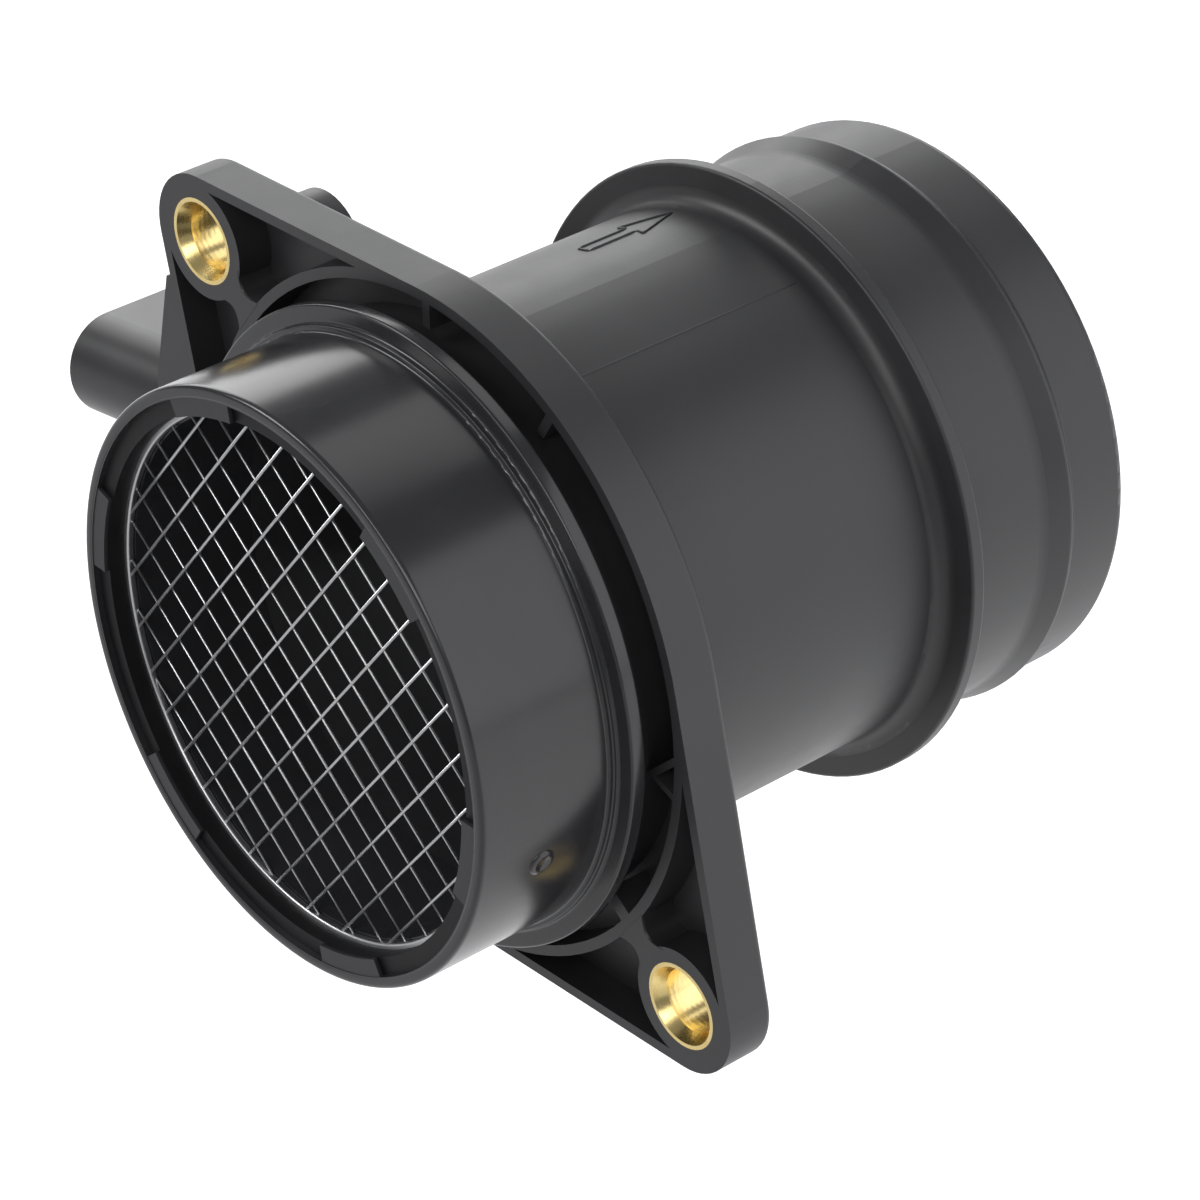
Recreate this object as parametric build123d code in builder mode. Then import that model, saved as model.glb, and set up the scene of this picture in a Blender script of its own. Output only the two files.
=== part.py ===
from build123d import *
import os
from math import cos, radians, sin

# Mass airflow sensor with a two-eared flange and a plug-in sensor module.
# Millimetres. +X is the direction of flow, +Z is up and +Y is the connector side.
# The origin is the centre of the flange's mounting face, which looks along -X.

# Duct, as stations along X and radii about it
inlet_rim_x = -22.5
inlet_radius = 35.0
rim_bore_radius = 33.6
screen_seat_x = -18.6
duct_radius = 30.7
step_x = -5.1
step_radius = 35.7
shoulder_x = -4.4
shoulder_radius = 37.9
shoulder_thickness = 1.8
neck_radius = 35.2
tube_radius = 33.2
hose_radius = 34.2
collar_x = 45.7
collar_thickness = 1.95
collar_radius = 37.9
bead_start_x = 60.6
bead_peak_x = 64.0
bead_end_x = 65.0
bead_radius = 35.4
outlet_x = 73.4
outlet_radius = 34.6
outlet_bore_radius = 32.0
flare_x = 28.0
fine_edge = 0.4
rim_edge = 0.6
collar_root = 2.0
bead_blend = 4.0
outlet_edge = 1.2

# Flange
flange_thickness = 6.1
flange_radius = 40.8
flange_wall = 1.3
flange_web = 1.6
flange_root = 1.5
flange_back_edge = 0.8
ear_angle = 36.4
ear_pitch_radius = 50.95
ear_radius = 8.05
ear_boss_radius = 7.05
pocket_depth = flange_thickness - flange_web
spoke_length = 11.2
spoke_middle_radius = 41.6
spoke_width = 2.0
rib_angles = (89.0, 119.6)
rib_length = 4.2
rib_width = 1.2
rib_middle_radius = 38.6
gusset_points = ((-40.6, 2.4), (-35.9, -2.1), (-40.4, -3.7))
gusset_width = 0.85
web_points = ((44.4, 24.4), (48.3, 22.8), (51.2, 8.2), (51.9, -2.0), (40.1, -11.7), (37.0, 2.4))
web_thickness = 2.8
lug_angle = 47.4
lug_pitch_radius = 43.2
lug_radius = 6.4
lug_reach = 3.0

# Compression bushes
bush_radius = 5.2
bush_bore_radius = 3.85
bush_mouth_radius = 4.7
bush_mouth_depth = 1.4

# Wire screen and its retaining ring
wire_width = 0.4
wire_lap = 0.32
front_wire_angle = 127.9
front_wire_pitch = 4.703
front_wire_count = 13
front_wire_shift = 0.016
rear_wire_angle = 38.17
rear_wire_pitch = 4.6
rear_wire_count = 13
rear_wire_shift = -0.4
screen_bore_radius = 30.9
screen_rim_radius = 33.4
screen_thickness = 1.0
screen_start_x = screen_seat_x - screen_thickness
ring_start_x = -21.7
ring_wall = 2.1
snap_tab_count = 6
snap_tab_angle = 19.0
snap_tab_first = 9.5
snap_tab_wall = 2.1
snap_tab_start_x = -22.4

# Sensor port and module, in a frame that looks outwards along the connector axis
port_x = 26.0
port_angle = -9.3
port_face = 40.5
pedestal_length = 35.0
pedestal_width = 29.0
pedestal_corner = 4.0
pedestal_root = 27.5
blade_length = 24.0
blade_width = 12.0
blade_corner = 2.5
blade_tip = -13.0
port_gap = 0.3
seal_width = 2.0
seal_height = 2.2
plate_thickness = 3.0
neck_offset = (5.5, 4.5)
neck_length = 19.0
neck_width = 14.0
neck_corner = 3.0
socket_offset = (6.1, 5.6)
socket_length = 26.4
socket_width = 13.0
socket_wall = 1.6
socket_root = 55.5
socket_floor = 61.0
socket_mouth = 79.9
screw_spots = ((13.2, -10.6), (-13.2, 10.6))
screw_radius = 1.9
screw_clearance = 0.2
screw_head_radius = 3.3
screw_head_height = 2.6
screw_head_edge = 0.8
screw_length = 12.0
pin_count = 5
pin_pitch = 4.3
pin_width = 1.6
pin_thickness = 0.8
pin_taper = 0.25
pin_root = 53.5
pin_tip = 73.8

# Blade interior, as heights along the port axis and depths across it
cover_thickness = 1.2
cover_gap = 0.05
cover_lap = 1.0
chamber_low = 11.0
chamber_high = 36.0
chamber_middle = (chamber_low + chamber_high) / 2
chamber_width = 19.0
carrier_height = 0.0
carrier_thickness = 1.0
carrier_gap = 0.5
tongue_width = 5.0
tongue_tip = 1.0
channel_floor = -4.0
channel_width = 5.0
channel_upper = 2.5
channel_turn_x = -4.0
channel_lower = -7.5
channel_exit_x = 4.0
bypass_cover_length = 20.0
bypass_cover_width = 20.0
bypass_cover_middle = (blade_tip + chamber_low) / 2 - 0.5
board_width = 16.0
board_length = 22.0
board_thickness = 0.8
board_middle = chamber_middle + 1.0
package_height = 1.1
package_size = (6.0, 6.0)
package_spot = (-3.0, chamber_middle + 4.0)
capacitor_size = (2.0, 3.2)
capacitor_spots = ((4.5, chamber_middle - 1.0), (4.5, chamber_middle + 6.0))
chip_size = (3.4, 2.6)
chip_thickness = 0.5
window_size = (6.0, 10.0)
window_depth = 2.5
bead_height = 19.0
bead_offset = blade_width / 2 - 1.2
thermistor_radius = 1.2
leg_radius = 0.3
leg_length = 12.0

os.makedirs("parts", exist_ok=True)


def port_plane(height=0.0):
    """Plane across the port axis: local x looks towards the inlet, local z outwards."""
    outwards = (0, cos(radians(port_angle)), sin(radians(port_angle)))
    return Plane(origin=(port_x, 0, 0), x_dir=(-1, 0, 0), z_dir=outwards).offset(height)


def side_plane(height=0.0):
    """Plane along the blade's side: local x looks towards the inlet, local y outwards."""
    across = Vector(-1, 0, 0).cross(port_plane().z_dir)
    return Plane(origin=(port_x, 0, 0), x_dir=(-1, 0, 0), z_dir=across).offset(height)


def outer_face(part):
    """The face furthest out along the port axis."""
    return part.faces().sort_by(Axis(origin=(0, 0, 0), direction=port_plane().z_dir))[-1]


def circle_edges(part, station, radius):
    """Circular edges about X at one station."""
    return part.edges().filter_by(
        lambda edge: edge.geom_type == GeomType.CIRCLE
        and abs(edge.arc_center.X - station) < 0.01
        and abs(edge.radius - radius) < 0.01
    )


def duct_outline():
    """Outer half-outline of the duct, closed along the axis, with a radius for each corner."""
    root_x = flange_thickness / 2
    corners = [
        ((inlet_rim_x, 0), 0),
        ((inlet_rim_x, inlet_radius), rim_edge),
        ((step_x, inlet_radius), fine_edge),
        ((step_x, step_radius), fine_edge),
        ((shoulder_x, step_radius), fine_edge),
        ((shoulder_x, shoulder_radius), fine_edge),
        ((shoulder_x + shoulder_thickness, shoulder_radius), fine_edge),
        ((shoulder_x + shoulder_thickness, neck_radius), fine_edge),
        ((root_x, neck_radius), 0),
        ((root_x, tube_radius), 0),
        ((collar_x, tube_radius), collar_root),
        ((collar_x, collar_radius), fine_edge),
        ((collar_x + collar_thickness, collar_radius), fine_edge),
        ((collar_x + collar_thickness, hose_radius), fine_edge),
        ((bead_start_x, hose_radius), bead_blend),
        ((bead_peak_x, bead_radius), rim_edge),
        ((bead_end_x, outlet_radius), fine_edge),
        ((outlet_x, outlet_radius), outlet_edge),
        ((outlet_x, 0), 0),
    ]
    with BuildSketch(Plane.XZ) as outline:
        with BuildLine():
            points = [point for point, radius in corners]
            FilletPolyline(*points, radius=[radius for point, radius in corners], close=True)
        make_face()
    return outline.sketch


def duct_bore():
    """Half-outline of the hollow: screen seat, straight duct and a flare to the outlet."""
    with BuildSketch(Plane.XZ) as bore:
        with BuildLine():
            Polyline(
                (inlet_rim_x, 0),
                (inlet_rim_x, rim_bore_radius),
                (screen_seat_x, rim_bore_radius),
                (screen_seat_x, duct_radius),
                (flare_x, duct_radius),
                (outlet_x, outlet_bore_radius),
                (outlet_x, 0),
                close=True,
            )
        make_face()
    return bore.sketch


def flange_outline(inset=0.0):
    """The flange's outline: the hull of a round middle and two ears, flat on XY."""
    with BuildSketch() as outline:
        Circle(flange_radius - inset)
        with PolarLocations(ear_pitch_radius, 2, start_angle=ear_angle):
            Circle(ear_radius - inset)
        make_hull()
    return outline.sketch


def channel_ribs():
    """Radial ribs and folded gussets across the channel, the same on both sides, flat on XY."""
    with BuildSketch() as ribs:
        for angle in rib_angles:
            with PolarLocations(rib_middle_radius, 2, start_angle=angle):
                Rectangle(rib_length, rib_width)
        with BuildLine():
            Polyline(*gusset_points)
            Polyline(*[(-y, -z) for y, z in gusset_points])
        trace(line_width=gusset_width)
    return ribs.sketch


def flange_pockets():
    """Front pockets: a channel round the neck and two cells beside each ear's boss."""
    with BuildSketch(Plane.YZ) as pockets:
        add(flange_outline(flange_wall))
        Circle(flange_radius, mode=Mode.SUBTRACT)
        Circle(flange_radius - flange_wall)
        Circle(neck_radius, mode=Mode.SUBTRACT)
        with PolarLocations(ear_pitch_radius, 2, start_angle=ear_angle):
            Circle(ear_boss_radius, mode=Mode.SUBTRACT)
        with PolarLocations(spoke_middle_radius, 2, start_angle=ear_angle):
            Rectangle(spoke_length, spoke_width, mode=Mode.SUBTRACT)
        add(channel_ribs(), mode=Mode.SUBTRACT)
    return pockets.sketch


def guard_web():
    """Web that runs from the flange's side in front of the connector."""
    with BuildSketch(Plane.YZ) as web:
        with BuildLine():
            Polyline(*web_points, close=True)
        make_face()
        add(flange_outline(flange_wall / 2), mode=Mode.SUBTRACT)
    return web.sketch


# Housing: one moulding
with BuildPart() as housing:
    revolve(duct_outline(), axis=Axis.X)
    with BuildSketch(Plane.YZ):
        add(flange_outline())
    extrude(amount=flange_thickness)
    fillet(circle_edges(housing, flange_thickness, tube_radius), flange_root)
    back_rim = housing.faces().filter_by(Plane.YZ).filter_by(
        lambda face: abs(face.center().X - flange_thickness) < 0.01
    )
    fillet(back_rim.face().outer_wire().edges(), flange_back_edge)
    extrude(guard_web(), amount=web_thickness)
    with BuildSketch(Plane.YZ.offset(flange_web)):
        with PolarLocations(lug_pitch_radius, 2, start_angle=lug_angle):
            Circle(lug_radius)
    extrude(amount=pocket_depth + lug_reach)
    with BuildSketch(port_plane(pedestal_root)):
        RectangleRounded(pedestal_length, pedestal_width, pedestal_corner)
    extrude(amount=port_face - pedestal_root)
    extrude(flange_pockets(), amount=pocket_depth, mode=Mode.SUBTRACT)
    with BuildSketch(Plane.YZ):
        with PolarLocations(ear_pitch_radius, 2, start_angle=ear_angle):
            Circle(bush_radius)
    extrude(amount=flange_thickness, mode=Mode.SUBTRACT)
    revolve(duct_bore(), axis=Axis.X, mode=Mode.SUBTRACT)
    with BuildSketch(port_plane(blade_tip)):
        RectangleRounded(blade_length + 2 * port_gap, blade_width + 2 * port_gap, blade_corner)
    extrude(amount=port_face - blade_tip, mode=Mode.SUBTRACT)
    with BuildSketch(port_plane(port_face - seal_height)):
        RectangleRounded(blade_length + 2 * seal_width, blade_width + 2 * seal_width, pedestal_corner)
    extrude(amount=seal_height, mode=Mode.SUBTRACT)
    with BuildSketch(port_plane(port_face)):
        with Locations(*screw_spots):
            Circle(screw_radius)
    extrude(amount=plate_thickness - screw_length, mode=Mode.SUBTRACT)
housing.part.label = "housing"
export_step(housing.part, "parts/housing.step")


def make_bush(angle):
    """Compression bush: a straight bore behind a wide countersunk mouth."""
    with BuildPart() as bush:
        with BuildSketch(Plane.YZ):
            with PolarLocations(ear_pitch_radius, 1, start_angle=angle):
                Circle(bush_radius)
                Circle(bush_bore_radius, mode=Mode.SUBTRACT)
        extrude(amount=flange_thickness)
        mouth = circle_edges(bush, 0, bush_bore_radius)
        chamfer(mouth, bush_mouth_depth, bush_mouth_radius - bush_bore_radius)
    return bush.part


for name, angle in (("upper_bush", ear_angle), ("lower_bush", ear_angle + 180)):
    bush_part = make_bush(angle)
    bush_part.label = name
    export_step(bush_part, f"parts/{name}.step")


def wire_layer(angle, pitch, count, shift, station):
    """One layer of parallel square wires that reach into the screen's rim."""
    direction = Vector(0, cos(radians(angle)), sin(radians(angle)))
    across = Vector(1, 0, 0).cross(direction)
    reach = (screen_bore_radius + screen_rim_radius) / 2
    with BuildPart() as layer:
        for index in range(count):
            offset = (index - (count - 1) / 2) * pitch + shift
            half = (reach * reach - offset * offset) ** 0.5
            start = Vector(station, 0, 0) + across * offset - direction * half
            with BuildSketch(Plane(origin=start, x_dir=(1, 0, 0), z_dir=direction)):
                Rectangle(wire_width, wire_width)
            extrude(amount=2 * half)
    return layer.part


with BuildPart() as wire_screen:
    with BuildSketch(Plane.YZ.offset(screen_start_x)):
        Circle(screen_rim_radius)
        Circle(screen_bore_radius, mode=Mode.SUBTRACT)
    extrude(amount=screen_thickness)
    middle = screen_start_x + screen_thickness / 2
    add(wire_layer(front_wire_angle, front_wire_pitch, front_wire_count, front_wire_shift,
                   middle - wire_lap / 2))
    add(wire_layer(rear_wire_angle, rear_wire_pitch, rear_wire_count, rear_wire_shift,
                   middle + wire_lap / 2))
wire_screen.part.label = "wire_screen"
export_step(wire_screen.part, "parts/wire_screen.step")


def snap_tab(first_angle):
    """Outline of one snap tab, a short arc inside the rim."""
    with BuildSketch(Plane.YZ.offset(snap_tab_start_x)) as tab:
        with BuildLine():
            outer = CenterArc((0, 0), rim_bore_radius, first_angle, snap_tab_angle)
            inner = CenterArc((0, 0), rim_bore_radius - snap_tab_wall, first_angle, snap_tab_angle)
            Line(outer @ 0, inner @ 0)
            Line(outer @ 1, inner @ 1)
        make_face()
    return tab.sketch


with BuildPart() as screen_ring:
    with BuildSketch(Plane.YZ.offset(ring_start_x)):
        Circle(rim_bore_radius)
        Circle(rim_bore_radius - ring_wall, mode=Mode.SUBTRACT)
    extrude(amount=screen_start_x - ring_start_x)
    for index in range(snap_tab_count):
        tab_angle = snap_tab_first + index * 360 / snap_tab_count
        extrude(snap_tab(tab_angle - snap_tab_angle / 2), amount=ring_start_x - snap_tab_start_x)
screen_ring.part.label = "screen_ring"
export_step(screen_ring.part, "parts/screen_ring.step")


def bypass_channel():
    """Path of the measuring channel: in at the leading edge, round a half turn, out below."""
    turn = (channel_upper + channel_lower) / 2
    turn_radius = (channel_upper - channel_lower) / 2
    with BuildSketch(side_plane(channel_floor)) as channel:
        with BuildLine():
            Line((blade_length / 2 + 1, channel_upper), (channel_turn_x, channel_upper))
            CenterArc((channel_turn_x, turn), turn_radius, 90, 180)
            Line((channel_turn_x, channel_lower), (channel_exit_x, channel_lower))
        trace(line_width=channel_width)
    return channel.sketch


def pin_places():
    """Places of the contact pins along the connector."""
    first = socket_offset[0] - pin_pitch * (pin_count - 1) / 2
    return [(first + index * pin_pitch, socket_offset[1]) for index in range(pin_count)]


def carrier_outline():
    """Outline of the metal carrier: a plate in the chamber and a tongue into the channel."""
    plate_length = chamber_high - chamber_low - 2 * carrier_gap
    tongue_length = chamber_low + carrier_gap - tongue_tip
    with BuildSketch(side_plane(carrier_height)) as carrier:
        with Locations((0, chamber_middle)):
            Rectangle(chamber_width - 2 * carrier_gap, plate_length)
        with Locations((0, tongue_tip)):
            Rectangle(tongue_width, tongue_length, align=(Align.CENTER, Align.MIN))
    return carrier.sketch


def thermistor_legs():
    """Two legs in one line, with their ends in the blade."""
    with BuildPart() as legs:
        with BuildSketch(port_plane(bead_height - leg_length / 2)):
            with Locations((0, bead_offset)):
                Circle(leg_radius)
        extrude(amount=leg_length)
    return legs.part


# Sensor module body: blade, screw plate and connector in one moulding
with BuildPart() as module_body:
    with BuildSketch(port_plane(blade_tip)):
        RectangleRounded(blade_length, blade_width, blade_corner)
    extrude(amount=port_face - blade_tip)
    with BuildSketch(port_plane(port_face)):
        RectangleRounded(pedestal_length, pedestal_width, pedestal_corner)
    extrude(amount=plate_thickness)
    with BuildSketch(port_plane(port_face + plate_thickness)):
        with Locations(neck_offset):
            RectangleRounded(neck_length, neck_width, neck_corner)
    with BuildSketch(port_plane(socket_root)):
        with Locations(socket_offset):
            SlotOverall(socket_length, socket_width)
    loft()
    with BuildSketch(port_plane(socket_root)):
        with Locations(socket_offset):
            SlotOverall(socket_length, socket_width)
    extrude(amount=socket_mouth - socket_root)
    with BuildSketch(port_plane(socket_floor)):
        with Locations(socket_offset):
            SlotOverall(socket_length - 2 * socket_wall, socket_width - 2 * socket_wall)
    extrude(amount=socket_mouth - socket_floor, mode=Mode.SUBTRACT)
    with BuildSketch(port_plane(pin_root)):
        with Locations(*pin_places()):
            Rectangle(pin_width, pin_thickness)
    extrude(amount=socket_floor - pin_root, mode=Mode.SUBTRACT)
    with BuildSketch(port_plane(port_face)):
        with Locations(*screw_spots):
            Circle(screw_radius + screw_clearance)
    extrude(amount=plate_thickness, mode=Mode.SUBTRACT)
    with BuildSketch(side_plane(carrier_height)):
        with Locations((0, chamber_middle)):
            Rectangle(chamber_width, chamber_high - chamber_low)
    extrude(amount=blade_width / 2, mode=Mode.SUBTRACT)
    with BuildSketch(side_plane(blade_width / 2 - cover_thickness)):
        with Locations((0, chamber_middle)):
            Rectangle(chamber_width + 2 * cover_lap, chamber_high - chamber_low + 2 * cover_lap)
        with Locations((0, bypass_cover_middle)):
            Rectangle(bypass_cover_length, bypass_cover_width)
    extrude(amount=cover_thickness, mode=Mode.SUBTRACT)
    channel_depth = blade_width / 2 - cover_thickness - channel_floor
    extrude(bypass_channel(), amount=channel_depth, mode=Mode.SUBTRACT)
    extrude(carrier_outline(), amount=carrier_thickness, mode=Mode.SUBTRACT)
    with BuildSketch(side_plane(-blade_width / 2)):
        with Locations((0, bead_height)):
            Rectangle(*window_size)
    extrude(amount=window_depth, mode=Mode.SUBTRACT)
    add(thermistor_legs(), mode=Mode.SUBTRACT)
module_body.part.label = "module_body"
export_step(module_body.part, "parts/module_body.step")


def cover_plate(middle_height, length, width):
    """Flat lid let into the blade's side, a little smaller than its recess."""
    with BuildPart() as cover:
        with BuildSketch(side_plane(blade_width / 2 - cover_thickness)):
            with Locations((0, middle_height)):
                Rectangle(length - 2 * cover_gap, width - 2 * cover_gap)
        extrude(amount=cover_thickness)
    return cover.part


electronics_cover = cover_plate(
    chamber_middle, chamber_width + 2 * cover_lap, chamber_high - chamber_low + 2 * cover_lap
)
electronics_cover.label = "electronics_cover"
export_step(electronics_cover, "parts/electronics_cover.step")

bypass_cover = cover_plate(bypass_cover_middle, bypass_cover_length, bypass_cover_width)
bypass_cover.label = "bypass_cover"
export_step(bypass_cover, "parts/bypass_cover.step")

with BuildPart() as carrier_plate:
    extrude(carrier_outline(), amount=carrier_thickness)
carrier_plate.part.label = "carrier_plate"
export_step(carrier_plate.part, "parts/carrier_plate.step")

with BuildPart() as circuit_board:
    with BuildSketch(side_plane(carrier_height + carrier_thickness)):
        with Locations((0, board_middle)):
            Rectangle(board_width, board_length)
    extrude(amount=board_thickness)
    with BuildSketch(side_plane(carrier_height + carrier_thickness + board_thickness)):
        with Locations(package_spot):
            Rectangle(*package_size)
        with Locations(*capacitor_spots):
            Rectangle(*capacitor_size)
    extrude(amount=package_height)
circuit_board.part.label = "circuit_board"
export_step(circuit_board.part, "parts/circuit_board.step")

with BuildPart() as sensing_chip:
    with BuildSketch(side_plane(carrier_height + carrier_thickness)):
        with Locations((0, channel_upper)):
            Rectangle(*chip_size)
    extrude(amount=chip_thickness)
sensing_chip.part.label = "sensing_chip"
export_step(sensing_chip.part, "parts/sensing_chip.step")

with BuildPart() as air_temperature_sensor:
    add(thermistor_legs())
    with Locations(port_plane(bead_height).location * Location((0, bead_offset, 0))):
        Sphere(thermistor_radius)
air_temperature_sensor.part.label = "air_temperature_sensor"
export_step(air_temperature_sensor.part, "parts/air_temperature_sensor.step")

with BuildPart() as module_seal:
    with BuildSketch(port_plane(port_face - seal_height)):
        RectangleRounded(blade_length + 2 * seal_width, blade_width + 2 * seal_width, pedestal_corner)
        RectangleRounded(blade_length, blade_width, blade_corner, mode=Mode.SUBTRACT)
    extrude(amount=seal_height)
module_seal.part.label = "module_seal"
export_step(module_seal.part, "parts/module_seal.step")


def make_terminal(place):
    """Flat contact pin with a tapered tip."""
    with BuildPart() as terminal:
        with BuildSketch(port_plane(pin_root)):
            with Locations(place):
                Rectangle(pin_width, pin_thickness)
        extrude(amount=pin_tip - pin_root)
        chamfer(outer_face(terminal).edges(), pin_taper)
    return terminal.part


for number, place in enumerate(pin_places(), start=1):
    pin_part = make_terminal(place)
    pin_part.label = f"terminal_{number}"
    export_step(pin_part, f"parts/terminal_{number}.step")


def make_screw(spot):
    """Screw with a round head, its shank filling the pilot hole."""
    with BuildPart() as screw:
        with BuildSketch(port_plane(port_face + plate_thickness - screw_length)):
            with Locations(spot):
                Circle(screw_radius)
        extrude(amount=screw_length)
        with BuildSketch(port_plane(port_face + plate_thickness)):
            with Locations(spot):
                Circle(screw_head_radius)
        extrude(amount=screw_head_height)
        chamfer(outer_face(screw).edges(), screw_head_edge)
    return screw.part


for name, spot in zip(("module_screw_front", "module_screw_rear"), screw_spots):
    screw_part = make_screw(spot)
    screw_part.label = name
    export_step(screw_part, f"parts/{name}.step")
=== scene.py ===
import bpy
import math
import numpy as np
from mathutils import Matrix, Vector


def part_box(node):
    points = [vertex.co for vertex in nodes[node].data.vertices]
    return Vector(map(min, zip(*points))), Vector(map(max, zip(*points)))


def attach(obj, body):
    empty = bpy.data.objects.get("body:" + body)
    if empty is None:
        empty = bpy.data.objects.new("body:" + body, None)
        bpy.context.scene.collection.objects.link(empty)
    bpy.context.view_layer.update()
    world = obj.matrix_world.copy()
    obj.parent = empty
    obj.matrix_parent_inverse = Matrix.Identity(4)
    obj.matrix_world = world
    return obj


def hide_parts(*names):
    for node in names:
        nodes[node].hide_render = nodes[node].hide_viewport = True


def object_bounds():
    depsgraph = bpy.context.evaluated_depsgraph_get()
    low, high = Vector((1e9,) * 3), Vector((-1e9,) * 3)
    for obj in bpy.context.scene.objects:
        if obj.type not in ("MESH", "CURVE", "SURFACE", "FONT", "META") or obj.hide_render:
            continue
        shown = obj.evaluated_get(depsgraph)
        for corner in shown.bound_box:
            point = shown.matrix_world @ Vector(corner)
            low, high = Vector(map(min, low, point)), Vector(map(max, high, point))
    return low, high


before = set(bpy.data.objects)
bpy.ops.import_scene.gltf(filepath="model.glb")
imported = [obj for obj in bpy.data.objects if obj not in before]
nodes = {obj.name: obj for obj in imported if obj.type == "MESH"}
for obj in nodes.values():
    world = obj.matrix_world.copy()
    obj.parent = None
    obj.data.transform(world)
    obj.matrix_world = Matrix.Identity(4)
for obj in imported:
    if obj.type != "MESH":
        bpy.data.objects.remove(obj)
cadLow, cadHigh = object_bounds()
scene = bpy.context.scene
mm = 0.001
print("frame loaded:", len(nodes), "nodes")


class Sheet:
    # adds nodes to a tree from left to right and joins them by socket name

    def __init__(self, tree):
        self.tree = tree
        self.column = 0

    def node(self, kind, links=None, **settings):
        made = self.tree.nodes.new(kind)
        self.column += 1
        made.location = (self.column * 180, -(self.column % 5) * 160)
        for key, value in settings.items():
            setattr(made, key, value)
        for socket, value in (links or {}).items():
            if isinstance(value, bpy.types.NodeSocket):
                self.link(value, made.inputs[socket])
            else:
                made.inputs[socket].default_value = value
        return made

    def link(self, value, target):
        self.tree.links.new(value, target)

    def math(self, operation, first, second=0.0, third=0.0):
        made = self.node("ShaderNodeMath", {0: first, 1: second, 2: third}, operation=operation)
        return made.outputs[0]

    def remap(self, value, low, high, newLow, newHigh):
        return self.node("ShaderNodeMapRange", {
            "Value": value, "From Min": low, "From Max": high, "To Min": newLow, "To Max": newHigh,
        }).outputs["Result"]

    def noise(self, vector, scale, detail=2.0, rough=0.5):
        return self.node("ShaderNodeTexNoise", {
            "Vector": vector, "Scale": scale, "Detail": detail, "Roughness": rough,
        }).outputs["Fac"]


def newGroup(name, inputs, outputs):
    # inputs are (label, kind, first value) and outputs (label, kind)
    tree = bpy.data.node_groups.new(name, "ShaderNodeTree")
    for label, kind, value in inputs:
        socket = tree.interface.new_socket(label, in_out="INPUT", socket_type=kind)
        if value is not None:
            socket.default_value = value
    for label, kind in outputs:
        tree.interface.new_socket(label, in_out="OUTPUT", socket_type=kind)
    return Sheet(tree), tree.nodes.new("NodeGroupInput"), tree.nodes.new("NodeGroupOutput")


def newMaterial(name):
    # a material with its shader, and the place on the piece that its patterns read
    material = bpy.data.materials.new(name)
    material.use_nodes = True
    sheet = Sheet(material.node_tree)
    shader = material.node_tree.nodes["Principled BSDF"]
    place = sheet.node("ShaderNodeTexCoord").outputs["Object"]
    return material, sheet, shader, place


camera = {
    "place": (-0.26882, -0.33834, 0.28375),
    "forward": (0.54804, 0.63350, -0.54620),
    "lens": 140.09,
    "sensor": 36.0,
    "clip": (0.02, 50.0),
}


def addCamera(spec):
    # the camera looks along forward, and its own X stays level
    data = bpy.data.cameras.new("viewCamera")
    data.lens = spec["lens"]
    data.sensor_width = spec["sensor"]
    data.clip_start, data.clip_end = spec["clip"]
    forward = Vector(spec["forward"]).normalized()
    right = forward.cross(Vector((0, 0, 1))).normalized()
    upward = right.cross(forward)
    turn = Matrix((right, upward, -forward)).transposed().to_4x4()
    piece = bpy.data.objects.new("viewCamera", data)
    scene.collection.objects.link(piece)
    piece.matrix_world = Matrix.Translation(spec["place"]) @ turn
    scene.camera = piece


studio = {
    "lamps": [
        # name, place, aim, size, size across, watts, colour
        ("lampKey", (0.82, -1.08, 0.63), (0.03, 0.0, 0.0), 2.0, 1.45, 13.5, (0.98, 0.98, 1.0)),
        ("lampTop", (0.63, 0.22, 0.98), (0.03, 0.0, 0.0), 0.6, 0.45, 1.1, (1.0, 1.0, 1.0)),
        ("lampBack", (0.67, 0.94, 0.36), (0.03, 0.0, 0.0), 1.5, 0.55, 8.5, (1.0, 1.0, 1.0)),
        ("lampInlet", (-0.98, -0.08, 0.58), (-0.02, 0.0, 0.0), 1.1, 0.28, 4.2, (1.0, 1.0, 1.0)),
        ("lampLeft", (-0.66, 0.76, 0.66), (-0.02, 0.0, 0.0), 0.6, 0.4, 5.5, (1.0, 1.0, 1.0)),
        ("lampFront", (-0.62, -0.66, 0.72), (0.02, 0.0, 0.0), 0.6, 0.5, 2.4, (1.0, 0.99, 0.97)),
    ],
    "roomColour": (0.95, 0.97, 1.0, 1.0),
    "roomLight": 0.19,
    "floorDrop": 0.085,          # floor below the lowest point of the part
    "floorSize": 8.0,
    "floorColour": (0.55, 0.55, 0.56, 1.0),
    "floorMatt": 0.85,
    "floorSpecular": 0.1,
    "floorGlow": 0.80,           # glow of the paper where it is looked at
    "floorDim": 0.08,            # glow that the part gets from it on the inlet side
    "floorBright": 0.85,         # and on the outlet side
    "floorBand": (-0.10, 0.11),  # stations along X between which dim turns to bright
}


def aimed(place, aim):
    # at place, turned so that local -Z looks at aim
    forward = (Vector(aim) - Vector(place)).normalized()
    return Matrix.Translation(place) @ forward.to_track_quat("-Z", "Y").to_matrix().to_4x4()


def addLamps(spec):
    # soft rectangular lamps, each aimed at a point of the part
    for name, place, aim, size, across, watts, colour in spec["lamps"]:
        lamp = bpy.data.lights.new(name, "AREA")
        lamp.shape = "RECTANGLE"
        lamp.size, lamp.size_y = size, across
        lamp.energy, lamp.color = watts, colour
        piece = bpy.data.objects.new(name, lamp)
        scene.collection.objects.link(piece)
        piece.matrix_world = aimed(place, aim)


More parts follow.
